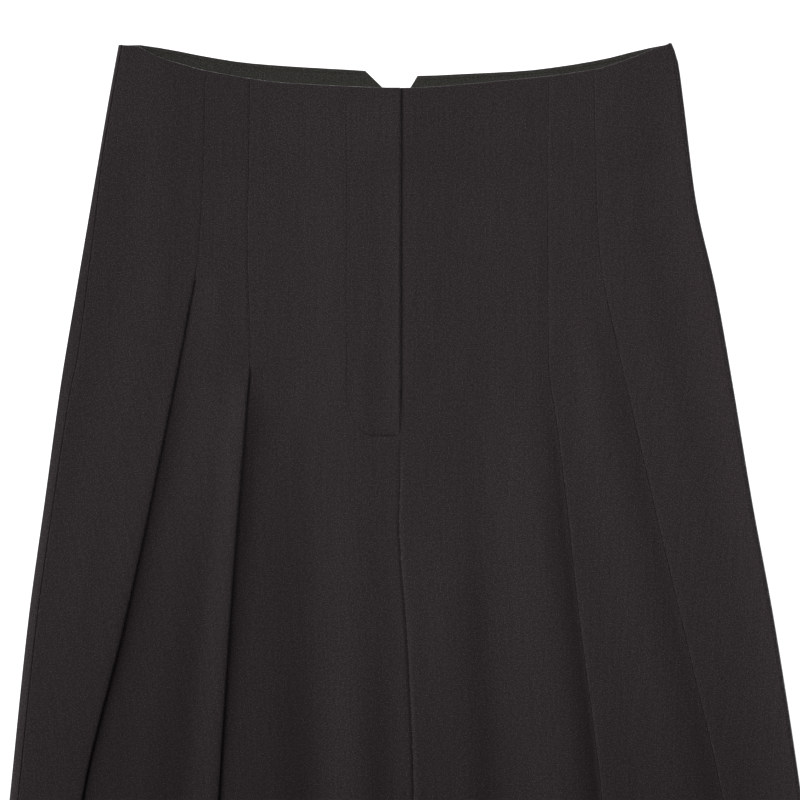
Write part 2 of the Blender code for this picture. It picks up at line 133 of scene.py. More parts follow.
# The long ridges and troughs that the fullness makes: each runs down the leg on a path of (down, out)
# points, at a height of (down, mm above the lowest level). The cloth passes smoothly from one to the next.
RIGHT_CENTRE = ((0, 4.1), (205, 4.1), (234, 3.2), (262, 2.6), (290, 2.3), (338, 2.1), (460, 2.4), (HEM, 1.5))
LEFT_CENTRE = ((0, 3.1), (234, 3.1), (262, 2.6), (290, 2.3), (338, 2.1), (460, 2.4), (HEM, 1.5))
RIGHT_SWELLS = (
    Swell(((0, 11), (234, 11), (262, 7), (338, 7), (460, 5), (HEM, 8)),
          ((0, 3.7), (60, 3.5), (150, 3.3), (234, 3.1), (270, 2.1), (338, 1.6), (460, 1.6), (HEM, 1.2))),
    Swell(((0, 21), (234, 21), (262, 16), (338, 14), (460, 13), (HEM, 22)),
          ((0, 3.7), (215, 3.7), (270, 2.3), (338, 2), (460, 2.5), (780, 2.4), (HEM, 2.4))),
    Swell(((0, 37), (200, 36), (262, 30), (338, 25), (460, 25), (HEM, 42)),
          ((0, 3.7), (200, 3.6), (262, 2.4), (338, 2.5), (460, 3.9), (780, 3.6), (HEM, 4))),
    Swell(((0, 66), (262, 60), (338, 57), (460, 54), (HEM, 80)),
          ((0, 1.6), (182, 1.5), (262, 0.8), (338, 0), (460, 0.2), (780, 0.3), (HEM, 0.3))),
    Swell(((0, 84), (182, 80), (262, 80), (338, 84), (460, 86), (HEM, 118)),
          ((0, 0.5), (182, 0.6), (262, 1.8), (338, 2.8), (460, 4), (780, 3.4), (HEM, 3.4))),
    Swell(((0, 92), (182, 90), (219, 93), (262, 96), (338, 103), (460, 112), (HEM, 148)),
          ((0, 0.2), (182, 0.2), (219, 2.2), (262, 2.8), (338, 4.3), (460, 4.5), (780, 4), (HEM, 3.6))),
    Swell(((0, 98), (182, 98), (262, 105.5), (338, 111.5), (460, 119.5), (HEM, 156)),
          ((0, 0), (182, 0), (200, 2.2), (219, 4.2), (262, 5.2), (338, 5.9), (460, 4.9), (780, 4.6),
           (HEM, 4.2))),
    Swell(((0, 115), (182, 115), (262, 122), (338, 129), (460, 139), (HEM, 198)),
          ((0, 0), (182, 0), (219, 2.2), (262, 3.4), (338, 4), (460, 3.1), (780, 2.8), (HEM, 2.2))),
    Swell(((0, 121), (120, 123), (200, 135), (338, 151), (460, 172), (HEM, 236)),
          ((0, 0), (120, 0), (200, 0.9), (338, 5.8), (460, 6.4), (780, 4.4), (HEM, 3.6))),
    Swell(((0, 125), (120, 127), (200, 143), (338, 171), (460, 200), (700, 230), (HEM, 273)),
          ((0, 0), (120, 0), (200, 1.4), (338, 6.8), (460, 6.8), (780, 4.9), (HEM, 3.8))),
    Swell(((0, 129), (120, 133), (200, 150), (338, 178), (460, 207), (700, 237), (HEM, 280)),
          ((0, 0), (120, 0), (200, 2.2), (338, 7.8), (460, 7.4), (780, 5.4), (HEM, 4.5))),
    Swell(((0, 160), (120, 168), (338, 213), (460, 236), (HEM, 306)),
          ((0, 0.8), (120, 0.8), (200, 1.8), (338, 5.6), (460, 5.8), (780, 4.5), (HEM, 3))))
LEFT_SWELLS = (
    Swell(((0, 14), (234, 14), (338, 14), (460, 20), (HEM, 32)),
          ((0, 2.9), (226, 2.8), (290, 2.3), (338, 2.4), (460, 2.2), (HEM, 2))),
    Swell(((0, 34), (234, 34), (338, 40), (460, 44), (HEM, 66)),
          ((0, 2.4), (226, 2.2), (290, 2.5), (338, 3.6), (460, 2.4), (780, 3.5), (HEM, 4.5))),
    Swell(((0, 60), (234, 56), (338, 58), (460, 66), (HEM, 94)),
          ((0, 1.6), (181, 1.4), (290, 1.4), (338, 1.5), (460, -0.1), (780, 0.4), (HEM, 0.3))),
    Swell(((0, 80), (181, 80), (219, 85), (338, 99), (460, 115), (HEM, 164)),
          ((0, 0.6), (181, 0.7), (262, 3.1), (338, 3.5), (460, 3.2), (780, 3.8), (HEM, 4.2))),
    Swell(((0, 91), (181, 91), (219, 96), (338, 110), (460, 125), (HEM, 177)),
          ((0, 0.2), (181, 0.4), (262, 1.7), (338, 1.8), (460, 1.4), (780, 1.8), (HEM, 2))),
    Swell(((0, 97.5), (181, 97.5), (219, 102.5), (338, 116.5), (460, 131.5), (HEM, 184)),
          ((0, 0), (181, 0), (262, 0.1), (338, -0.1), (460, -0.5), (780, -0.3), (HEM, -0.2))),
    Swell(((0, 113), (181, 113), (338, 136), (460, 156), (HEM, 214)),
          ((0, 0), (181, 0), (262, 0.2), (338, -0.1), (460, -0.4), (780, 1), (HEM, 1.6))),
    Swell(((0, 120), (123, 122), (219, 136), (338, 161), (460, 188), (HEM, 274)),
          ((0, 0), (123, 0.1), (219, 2), (338, 1.6), (460, 1.6), (780, 2.6), (HEM, 3.2))),
    Swell(((0, 125), (123, 128), (219, 147), (338, 172), (460, 199), (HEM, 290)),
          ((0, 0), (123, 0), (219, 1), (338, 0.9), (460, 0.8), (780, 1.3), (HEM, 1.8))),
    Swell(((0, 129), (123, 133), (172, 143.5), (272, 166.5), (338, 182), (460, 210.5), (700, 251),
           (HEM, 299)),
          ((0, 0), (123, 0), (219, -0.1), (338, -0.4), (460, -0.5), (780, -0.3), (HEM, 0))),
    Swell(((0, 160), (123, 168), (338, 214), (460, 240), (HEM, 328)),
          ((0, 0.8), (123, 0.9), (219, 0.8), (338, 0.4), (460, 0.3), (780, 1.2), (HEM, 1.6))))

# Small soft creases and dents, from one (x, down) point to another. A height below zero is a trough.
CREASES = (
    Crease((-35, 11), (-35, 16), 2.6, -0.35), Crease((-18, 12), (-18, 14), 2.6, -0.3),
    Crease((-16.5, 200), (-16.5, 224), 3.4, -0.4), Crease((-36, 202), (-36, 219), 4, -0.3),
    Crease((-26, 196), (-25, 218), 4, 0.2), Crease((-8, 236), (-30, 246), 4, 0.25),
    Crease((-158, 41), (-158, 133), 6, 0.25), Crease((-120, 133), (-120, 172), 5, 0.25),
    Crease((45, 118), (45, 188), 6, 0.28), Crease((90, 93), (92, 146), 4, 0.2),
    Crease((138, -8), (139, 118), 4, 0.2), Crease((96, 66), (188, 47), 4.5, 0.2),
    Crease((-150, 205), (-160, 262), 5, 0.3), Crease((-205, 300), (-214, 372), 7, 0.3),
    Crease((26, 300), (31, 420), 7, 0.3), Crease((-60, 500), (-84, 640), 13, 0.9),
    Crease((-190, 520), (-226, 700), 16, 1.1), Crease((80, 520), (104, 700), 15, 1),
    Crease((196, 560), (238, 760), 15, 0.9), Crease((-120, 760), (-146, 960), 16, 1),
    Crease((150, 780), (176, 1010), 17, 1.1), Crease((40, 800), (46, 980), 14, 0.8),
    Crease((-250, 820), (-268, 1020), 15, 0.8))

RIGHT_LEG = Leg(
    name="right", sign=-1,
    outline=((-29, 186.1), (8, 192.8), (74, 204), (133, 214), (192, 223.8), (272, 234.7),
             (351, 245.5), (470, 257.9), (HEM, 325)),
    side_strip=((60, 2.4), (95, 4.8), (150, 7.4), (180, 8.4), (202, 7), (300, 6.2), (HEM, 6)),
    side_rise=((0, -1.2), (60, -1.3), (140, -1.2), (220, 0.1), (300, 2), (380, 2.8), (460, 3.2), (HEM, 2)),
    side_settle=30,
    outer_fold=RIGHT_OUTER, inner_fold=RIGHT_INNER, swells=RIGHT_SWELLS, centre_swell=RIGHT_CENTRE)
LEFT_LEG = Leg(
    name="left", sign=1,
    outline=((-30, 179.5), (-19, 183.4), (8, 187.2), (74, 195.5), (133, 208.7), (192, 219.2),
             (272, 232.4), (351, 246.9), (470, 265.2), (HEM, 347)),
    side_strip=((0, 2.4), (HEM, 2.4)),
    side_rise=((0, 1.8), (200, 3), (338, 4.9), (460, 6), (800, 5.4), (HEM, 4)), side_settle=34,
    outer_fold=LEFT_OUTER, inner_fold=LEFT_INNER, swells=LEFT_SWELLS, centre_swell=LEFT_CENTRE)

# Facings, fly and zip, which lie between the front and the back.
FACING_DEPTH, FACING_EDGE_INSET, FACING_SIDE_INSET = 45, 0.8, 5
FACING_LEVEL = 1.1
FACING_RISE, FACING_RISE_END, FACING_RISE_FADE = 1.3, 38, 28     # how the facing lifts what lies over it
FLY_UNDERLAP, UNDERLAP_END, FLY_LAYERS_END = 3.15, 226, 234      # the left front reaches under the fly edge
FLY_FACING_WIDTH, FLY_FACING_CURVE = 35.5, 45
FLY_VALLEY, FLY_VALLEY_WIDTH = 0.6, 1.3          # how the left front dips beside the fly edge
FLY_VALLEY_END, FLY_VALLEY_FADE = 200, 14
J_FOOT_START, J_FOOT_HEIGHT = 18, 33             # the curved foot of the J stitching
BAR_DIP, BAR_DIP_WIDTH = 0.55, 1.6               # how the bar tack pulls the cloth in
BAR_DIP_END, BAR_DIP_FADE = 18, 5
SHIELD_OUTER, SHIELD_INNER, SHIELD_END = -38, 5, 231
SHIELD_LEVEL, TAPE_LEVEL, FLY_FACING_LEVEL = 2.0, 3.2, 4.4
TAPE_LEFT, TAPE_RIGHT, TAPE_TOP, TAPE_END, TAPE_THICK = -21, 5, 24, 222, 0.5
SLIDER_BULGE, SLIDER_BULGE_RADIUS, SLIDER_BULGE_DOWN = 1.4, 22, 28     # the slider pushes the cloth up

# How the cloth lies at a tuck and where it opens.
STITCHING_FADE = 18
BESIDE_WIDTH = 60     # cloth beside a stitched tuck comes up level with it over this width
NEEDLE_PITCH = 2.75   # from one stitch of a tuck to the next
NEEDLE_PULL = 0.3     # how much each stitch pulls the cloth beside the tuck back into it
EDGE_ROLL, EDGE_ROLL_WIDTH = 0.12, 5    # how far a fold's edge rolls down, as a share of its step
GROOVE = 0.25         # the groove along a fold's edge, between the flap and the cloth beside it

# The cloth dips beside an open fold, by VALLEY times what the fold stands above the first 0.6 mm.
VALLEY, VALLEY_START, VALLEY_WIDTH = 1.2, 0.6, 1.5

# Further from a fold the cloth comes away more softly: its step is averaged over rows this far up and down.
OPENING_EASE = (-18, -12, -6, 0, 6, 12, 18)
EASE_START, EASE_WIDTH = 4, 24


def smooth(value):
    """0 up to 1, level at both ends."""
    value = min(1, max(0, value))
    return value * value * (3 - 2 * value)


def slope_at(points, index):
    """Slope of the smooth curve at a point, level where the points turn back."""
    if index in (0, len(points) - 1):
        here, beside = (0, 1) if index == 0 else (-1, -2)
        return (points[beside][1] - points[here][1]) / (points[beside][0] - points[here][0])
    (x0, y0), (x1, y1), (x2, y2) = points[index - 1:index + 2]
    before, after = (y1 - y0) / (x1 - x0), (y2 - y1) / (x2 - x1)
    return 0 if before * after <= 0 else 2 * before * after / (before + after)


def curve(points, at):
    """Value at `at` on the smooth curve through the points, which doesn't overshoot them."""
    if at <= points[0][0]:
        return points[0][1]
    if at >= points[-1][0]:
        return points[-1][1]
    last = next(i for i, point in enumerate(points) if point[0] >= at)
    (x0, y0), (x1, y1) = points[last - 1], points[last]
    span = x1 - x0
    t = (at - x0) / span
    m0, m1 = slope_at(points, last - 1) * span, slope_at(points, last) * span
    return (y0 * (1 + 2 * t) * (1 - t) ** 2 + m0 * t * (1 - t) ** 2
            + y1 * t * t * (3 - 2 * t) + m1 * t * t * (t - 1))


def spread(start, end, count):
    """`count` values from start to end."""
    return [start + (end - start) * i / (count - 1) for i in range(count)]


# ---- where things lie in plan ----

def front_waist(x):
    return curve(FRONT_WAIST, x)


def notch_corner(leg):
    """How far out the V at the centre back begins."""
    return NOTCH_LEFT if leg.sign > 0 else -NOTCH_RIGHT


def back_waist(x):
    """The back waist edge, with the V at the centre back cut straight down from its two corners."""
    corner = NOTCH_RIGHT if x < CENTRE_LINE[0][1] else NOTCH_LEFT
    share = (x - corner) / (CENTRE_LINE[0][1] - corner)
    if share <= 0:
        return curve(BACK_WAIST, x)
    top = curve(BACK_WAIST, corner)
    return top + (NOTCH_FOOT - top) * share


def down_of(leg, out, row, waist=front_waist):
    """How far down a point of this row lies. Rows follow the waist edge at the top, the hem below."""
    waist_share = max(0, 1 - row / WAIST_FADE)
    hem_share = smooth((row - HEM_CURVE_START) / (HEM - HEM_CURVE_START))
    hem_lift = HEM_RISE * (max(0, out) / leg.outline[-1][1]) ** 2
    return row + waist(leg.sign * out) * waist_share - hem_lift * hem_share


def out_of(leg, points, row):
    """Where a line given as (down, out) points crosses this row."""
    out = curve(points, row)
    for _ in range(3):
        out = curve(points, down_of(leg, out, row))
    return out


def centre_out(leg, row):
    """A panel's edge along the centre seam, or the inseam below the crotch."""
    return leg.sign * curve(CENTRE_LINE, row) + curve(LEG_PARTING, row) / 2


def lie_of(leg, row):
    """Where everything lies in one row of a front."""
    centre = centre_out(leg, row)
    swells = [(centre, curve(leg.centre_swell, row))]
    swells += [(curve(swell.path, row), curve(swell.height, row)) for swell in leg.swells]
    seam = out_of(leg, leg.outline, row) - curve(leg.side_strip, row) - SEAM_GAP / 2
    return Lie(leg, row, swells, out_of(leg, leg.outer_fold.edge, row), curve(leg.outer_fold.depth, row),
               out_of(leg, leg.inner_fold.edge, row), curve(leg.inner_fold.depth, row), seam, centre)


# ---- how high the cloth lies ----

def waist_rise(row):
    """The back facing lifts every layer above it."""
    return FACING_RISE * (1 - smooth((row - FACING_RISE_END) / FACING_RISE_FADE))


def slider_bulge(x, row):
    away = math.hypot(x + SLIDER_OUT, row - SLIDER_BULGE_DOWN) / SLIDER_BULGE_RADIUS
    return SLIDER_BULGE * math.exp(-away * away)


def unevenness(x, row):
    """Cloth never lies quite flat: long soft waves, and shorter faint ones."""
    long_wave = noise.noise(Vector((x / 62, row / 95, 3)))
    short_wave = noise.noise(Vector((x / 21, row / 48, 9)))
    return 0.3 * long_wave + 0.08 * short_wave


def creasing(x, down):
    """Height of the small creases here."""
    height = 0
    for (x0, down0), (x1, down1), width, top in CREASES:
        length = math.hypot(x1 - x0, down1 - down0)
        along = ((x - x0) * (x1 - x0) + (down - down0) * (down1 - down0)) / length
        near_end = max(0, 0.3 * length - min(along, length - along))
        beyond = max(0, -along, along - length) + 0.1 * near_end
        across = ((x - x0) * (down1 - down0) - (down - down0) * (x1 - x0)) / length
        reach = (across / width) ** 2 + (beyond / (1.5 * width)) ** 2
        if reach < 6:
            height += top * math.exp(-reach)
    return height


def edge_drop(distance):
    """How far cloth rounds down at a turned edge, which stays just short of upright."""
    share = 1 - min(1, max(0, distance) / EDGE_ROUND)
    return CLOTH * (1 - math.sqrt(1 - 0.9 * share * share))


def side_level(leg, row):
    """Middle of the cloth on top of the roll at the side."""
    return SIDE_LEVEL + curve(leg.side_rise, row) - edge_drop(row) - edge_drop(HEM - row)


def ground(lie, out):
    """Middle of a single layer of the front, as it lies on what is below it."""
    leg, row = lie.leg, lie.row
    hem = HEM_STEP * smooth((row - HEM + HEM_DEPTH) / 3)
    level = FRONT_LEVEL + waist_rise(row) + curve(lie.swells, out) + hem
    level += slider_bulge(leg.sign * out, row) + creasing(leg.sign * out, row)
    return level + unevenness(leg.sign * out, row) - edge_drop(row) - edge_drop(HEM - row)


def edge_lift(fold, depth, past, row):
    """How far an open pleat lifts off the layers under it, most near its fold edge and none at its depth.
    The edge itself rolls down a little."""
    step = curve(fold.step, row)
    share = max(0, 1 - max(0, past) / depth)
    roll = max(0, 1 - max(0, past) / EDGE_ROLL_WIDTH)
    return max(0, step - 2 * LAYER) * share * share - EDGE_ROLL * step * roll * roll


def over_layers(edge, depth, out, room=FLAP_SETTLE):
    """1 where a flap lies on the cloth doubled back under it, 0 once it has settled beside it."""
    return 1 - smooth((out - edge - depth - FLAP_MARGIN) / min(room, FLAP_SETTLE))


def beside_fold(fold, edge, out, row):
    """How far the cloth beside a fold comes up towards the flap. Where the tuck is stitched it meets the
    flap, and each stitch pulls it in a little."""
    away = edge - out
    stitched = 1 - smooth((row - fold.release) / STITCHING_FADE)
    pull = NEEDLE_PULL * (0.5 - 0.5 * math.cos(2 * math.pi * row / NEEDLE_PITCH))
    start = TURN - 0.1 - stitched * (TURN + 0.1 - pull)
    step = curve(fold.step, row)
    eased = sum(curve(fold.step, row + near) for near in OPENING_EASE) / len(OPENING_EASE)
    rise = max(0, 2 * LAYER - step - (eased - step) * smooth((away - EASE_START) / EASE_WIDTH))
    dip = VALLEY * max(0, step - VALLEY_START) * (1 - smooth(away / VALLEY_WIDTH))
    return rise * smooth((away - start) / GROOVE) * (1 - smooth((away - 1) / BESIDE_WIDTH)) - dip


def outer_flap(lie, out):
    fold = lie.leg.outer_fold
    lift = 2 * LAYER * over_layers(lie.outer, lie.outer_depth, out)
    level = ground(lie, out) + lift + edge_lift(fold, lie.outer_depth, out - lie.outer, lie.row)
    side = side_level(lie.leg, lie.row) - SIDE_DIP * (1 - smooth((lie.seam - out) / EDGE_ROUND))
    nearness = max(0, 1 - (lie.seam - out) / lie.leg.side_settle)
    return level + (side - level) * nearness * nearness


def middle_part(lie, out):
    room = lie.outer - 1 - lie.inner - lie.inner_depth - FLAP_MARGIN
    over = over_layers(lie.inner, lie.inner_depth, out, room)
    beside = beside_fold(lie.leg.outer_fold, lie.outer, out, lie.row)
    lift = 2 * LAYER - (1 - over) * (2 * LAYER - beside)
    return ground(lie, out) + lift + edge_lift(lie.leg.inner_fold, lie.inner_depth, out - lie.inner, lie.row)


def centre_part(lie, out):
    lift = beside_fold(lie.leg.inner_fold, lie.inner, out, lie.row)
    dip = curve(CENTRE_DIP, lie.row) * (1 - smooth((out - lie.centre) / CENTRE_DIP_WIDTH))
    if lie.leg.sign > 0:
        past_fly = out - curve(CENTRE_LINE, lie.row)
        above_end = 1 - smooth((lie.row - FLY_VALLEY_END) / FLY_VALLEY_FADE)
        dip += FLY_VALLEY * above_end * (1 - smooth(past_fly / FLY_VALLEY_WIDTH))
    else:
        from_bar = (lie.row - FLY_BOTTOM) / BAR_DIP_WIDTH
        dip += BAR_DIP * math.exp(-from_bar ** 2) * (1 - smooth((out - BAR_DIP_END) / BAR_DIP_FADE))
    return ground(lie, out) + lift - dip


def front_top(lie, out):
    """Middle of the topmost layer of the front."""
    if out >= lie.outer:
        return outer_flap(lie, out)
    return middle_part(lie, out) if out >= lie.inner else centre_part(lie, out)


# ---- sections ----

def half_turn(out, level, faces_in):
    """Inner points of a half turn of cloth from `level` down by one layer, about `out`."""
    way = -1 if faces_in else 1
    turns = [math.pi * i / 6 for i in range(1, 6)]
    return [(out + way * TURN * math.sin(turn), level - TURN + TURN * math.cos(turn)) for turn in turns]


def pleat(lie, fold, edge, depth):
    """The doubled-back cloth at a fold, from the flap's edge to the lowest layer."""
    near, far = edge + TURN, edge + depth - TURN

    def under(out):
        return ground(lie, out) + LAYER + edge_lift(fold, depth, out - edge, lie.row)

    points = [(near, under(near) + LAYER)]
    points += half_turn(near, points[0][1], True)
    points += [(out, under(out)) for out in spread(near, far, 6)]
    points += half_turn(far, under(far), False)
    points += [(out, ground(lie, out)) for out in spread(far, edge + 1, 5)]
    return points


def front_section(leg, row):
    """One row of the front panel as (out, z) points, from the side seam to the centre."""
    lie = lie_of(leg, row)
    outer = pleat(lie, leg.outer_fold, lie.outer, lie.outer_depth)
    inner = pleat(lie, leg.inner_fold, lie.inner, lie.inner_depth)
    centre = lie.centre
    if leg.sign > 0:
        centre -= FLY_UNDERLAP * (1 - smooth((row - UNDERLAP_END) / (FLY_LAYERS_END - UNDERLAP_END)))
    settled = lie.seam - leg.side_settle
    outer_lifted = min(lie.outer + lie.outer_depth + FLAP_MARGIN, settled - 1)
    inner_lifted = min(lie.inner + lie.inner_depth + FLAP_MARGIN, lie.outer - 12)
    beside = (-0.2, -0.1, 0, 0.1, 0.2, 0.3, 0.4, 0.55, 0.8, 1.4, 2.4, 4, 7)    # closest at the fold edge

    def run(outs, level):
        return [(out, level(lie, out)) for out in outs]

    points = run([lie.seam - step for step in (0, 0.3, 0.6, 1, 2)], outer_flap)
    points += run(spread(lie.seam - 4, settled, 5), outer_flap)
    points += run(spread(settled, outer_lifted, 8)[1:], outer_flap)
    points += run(spread(outer_lifted, outer[0][0], 10)[1:-1], outer_flap) + outer
    points += run([lie.outer - step for step in beside], middle_part)
    points += run(spread(lie.outer - 10, inner_lifted, 12), middle_part)
    points += run(spread(inner_lifted, inner[0][0], 9)[1:-1], middle_part) + inner
    points += run([lie.inner - step for step in beside], centre_part)
    points += run(spread(lie.inner - 10, centre + 3, 24), centre_part)
    points += run([centre + 1.8, centre + 1, centre + TURN], centre_part)
    tuck_in = half_turn(centre + TURN, points[-1][1], True)
    return points + tuck_in + [(centre + step, points[-1][1] - LAYER) for step in (0.7, 2.5, 5)]


def rolled_side(turn, level, roll):
    """The roll at the side, from the floor up: round below, and a softly sloping wedge above."""
    height = (level - BACK_LEVEL) / 2
    points = []
    for degrees in spread(10, 170, 17):
        across, up = math.sin(math.radians(degrees)), -math.cos(math.radians(degrees))
        if up > 0:
            across, up = across ** SIDE_WEDGE, up ** SIDE_WEDGE
        points.append((turn + roll * across, level - height + height * up))
    return points


def back_section(leg, row):
    """One row of the back panel, from the centre out along the floor and up round the side."""
    centre = leg.sign * curve(CENTRE_LINE, row) + curve(BACK_PARTING, row) / 2
    corner = max(notch_corner(leg), centre + 5)
    side = out_of(leg, leg.outline, row)
    roll = curve(leg.side_strip, row) - CLOTH / 2 - SIDE_FLAT
    turn = side - CLOTH / 2 - roll
    seam = side - curve(leg.side_strip, row) + SEAM_GAP / 2
    level = side_level(leg, row)
    points = [(out, BACK_LEVEL) for out in [centre, (centre + corner) / 2] + spread(corner, turn, 14)]
    points += rolled_side(turn, level, roll)
    points += [(out, level) for out in spread(turn, seam + 0.15, 4)]
    return points + [(seam, level - SIDE_DIP)]


# ---- materials ----

def colour(hex_code):
    """sRGB hex to linear red, green, blue, alpha."""
    parts = [int(hex_code[i:i + 2], 16) / 255 for i in (1, 3, 5)]
    return [part / 12.92 if part <= 0.04045 else ((part + 0.055) / 1.055) ** 2.4 for part in parts] + [1]


def add(tree, kind, settings=None, links=None):
    """Adds a node. A setting is one of its properties or the value of a socket, a link feeds a socket."""
    made = tree.nodes.new(kind)
    for key, value in (settings or {}).items():
        if isinstance(key, str) and hasattr(made, key):
            setattr(made, key, value)
        else:
            made.inputs[key].default_value = value
    for key, source in (links or {}).items():
        tree.links.new(source, made.inputs[key])
    return made


def new_material(name):
    material = bpy.data.materials.new(name)
    material.use_nodes = True
    return material, material.node_tree, material.node_tree.nodes["Principled BSDF"]


def suiting_twill(name, dark, light, weight):
    """Viscose and polyester suiting, a piece-dyed melange twill: dull and nearly black, with single paler
    fibres that speckle it, faint slubs along the warp and a soft bloom where light grazes it."""
    speckle_size, cloud_size = 0.8, 2.4      # real fibres are finer than a pixel, so they are drawn coarser
    slub_width, slub_length = 1.3, 55
    wale = 1.1                               # real wales are 0.4 mm apart, too fine to show
    material, tree, cloth = new_material(name)
    cut = add(tree, "ShaderNodeUVMap", {"uv_map": "cut"})
    flat = add(tree, "ShaderNodeMapping", {"Scale": (1 / MM, 1 / MM, 1)}, {"Vector": cut.outputs["UV"]})
    place = flat.outputs["Vector"]
    speckle = add(tree, "ShaderNodeTexNoise",
                  {"noise_dimensions": "2D", "Scale": 1 / speckle_size, "Detail": 2, "Roughness": 0.7},
                  {"Vector": place})
    cloud = add(tree, "ShaderNodeTexNoise",
                {"noise_dimensions": "2D", "Scale": 1 / cloud_size, "Detail": 2}, {"Vector": place})
    along = add(tree, "ShaderNodeMapping", {"Scale": (1 / slub_width, 1 / slub_length, 1)}, {"Vector": place})
    slub = add(tree, "ShaderNodeTexNoise", {"noise_dimensions": "2D", "Scale": 1, "Detail": 1},
               {"Vector": along.outputs["Vector"]})
    wales = add(tree, "ShaderNodeTexWave",
                {"bands_direction": "DIAGONAL", "Scale": 2 * math.pi / (10 * wale * math.sqrt(2)),
                 "Distortion": 1.5, "Detail": 1, "Detail Scale": 2}, {"Vector": place})
    fibres = add(tree, "ShaderNodeMapRange",
                 {"interpolation_type": "SMOOTHSTEP", "From Min": 0.48, "From Max": 0.72, "To Max": 2.6},
                 {"Value": speckle.outputs["Fac"]})
    clouded = add(tree, "ShaderNodeMath", {"operation": "MULTIPLY_ADD", 1: 0.7},
                  {0: cloud.outputs["Fac"], 2: fibres.outputs[0]})
    slubbed = add(tree, "ShaderNodeMath", {"operation": "MULTIPLY_ADD", 1: 0.5},
                  {0: slub.outputs["Fac"], 2: clouded.outputs[0]})
    ribbed = add(tree, "ShaderNodeMath", {"operation": "MULTIPLY_ADD", 1: 0.12},
                 {0: wales.outputs["Fac"], 2: slubbed.outputs[0]})
    share = add(tree, "ShaderNodeMapRange", {"From Min": 0, "From Max": 3.9}, {"Value": ribbed.outputs[0]})
    shade = add(tree, "ShaderNodeMix", {"data_type": "RGBA", 6: colour(dark), 7: colour(light)},
                {0: share.outputs[0]})
    tree.links.new(shade.outputs[2], cloth.inputs["Base Color"])
    rough = add(tree, "ShaderNodeMapRange", {"To Min": 0.98, "To Max": 0.82}, {"Value": share.outputs[0]})
    tree.links.new(rough.outputs[0], cloth.inputs["Roughness"])
    bump = add(tree, "ShaderNodeBump", {"Strength": 0.5, "Distance": weight * MM},
               {"Height": ribbed.outputs[0]})
    tree.links.new(bump.outputs["Normal"], cloth.inputs["Normal"])
    cloth.inputs["Specular IOR Level"].default_value = 0.2
    cloth.inputs["Sheen Weight"].default_value = 0.35
    cloth.inputs["Sheen Roughness"].default_value = 0.25
    return material


def woven_tape(name):
    """Polyester zip tape, a tight narrow weave: matt black with fine ribs across."""
    rib = 0.9                                # coarser than the real 0.5 mm so that it shows
    material, tree, tape = new_material(name)
    cut = add(tree, "ShaderNodeUVMap", {"uv_map": "cut"})
    flat = add(tree, "ShaderNodeMapping", {"Scale": (1 / MM, 1 / MM, 1)}, {"Vector": cut.outputs["UV"]})
    ribs = add(tree, "ShaderNodeTexWave", {"bands_direction": "Y", "Scale": 2 * math.pi / (20 * rib)},
               {"Vector": flat.outputs["Vector"]})
    shade = add(tree, "ShaderNodeMix", {"data_type": "RGBA", 6: colour("#161618"), 7: colour("#262629")},
                {0: ribs.outputs["Fac"]})
    tree.links.new(shade.outputs[2], tape.inputs["Base Color"])
    bump = add(tree, "ShaderNodeBump", {"Strength": 0.4, "Distance": 0.1 * MM},
               {"Height": ribs.outputs["Fac"]})
    tree.links.new(bump.outputs["Normal"], tape.inputs["Normal"])
    tape.inputs["Roughness"].default_value = 0.8
    return material


def spun_thread(name, dark, light):
    """Core-spun polyester sewing thread, matt and near black. The near-black tone is partly the thread's own
    colour and partly painted shade for the needle holes and the dimples the stitches pull, so stitches read
    as dark dots.
    """
    twist = 0.4
    material, tree, thread = new_material(name)
    place = add(tree, "ShaderNodeTexCoord")
    strands = add(tree, "ShaderNodeTexNoise", {"Scale": 1 / (twist * MM), "Detail": 1},
                  {"Vector": place.outputs["Object"]})
    shade = add(tree, "ShaderNodeMix", {"data_type": "RGBA", 6: colour(dark), 7: colour(light)},
                {0: strands.outputs["Fac"]})
    tree.links.new(shade.outputs[2], thread.inputs["Base Color"])
    bump = add(tree, "ShaderNodeBump", {"Strength": 0.4, "Distance": 0.05 * MM},
               {"Height": strands.outputs["Fac"]})
    tree.links.new(bump.outputs["Normal"], thread.inputs["Normal"])
    thread.inputs["Roughness"].default_value = 0.85
    thread.inputs["Specular IOR Level"].default_value = 0.2
    return material


def nylon_coil(name):
    """Extruded nylon zip coil: black, smooth and slightly shiny, duller where it was heat-set."""
    material, tree, coil = new_material(name)
    place = add(tree, "ShaderNodeTexCoord")
    haze = add(tree, "ShaderNodeTexNoise", {"Scale": 1 / (1.5 * MM), "Detail": 2},
               {"Vector": place.outputs["Object"]})
    shade = add(tree, "ShaderNodeMix", {"data_type": "RGBA", 6: colour("#121214"), 7: colour("#222226")},
                {0: haze.outputs["Fac"]})
    rough = add(tree, "ShaderNodeMapRange", {"To Min": 0.28, "To Max": 0.5}, {"Value": haze.outputs["Fac"]})
    tree.links.new(shade.outputs[2], coil.inputs["Base Color"])
    tree.links.new(rough.outputs[0], coil.inputs["Roughness"])
    return material


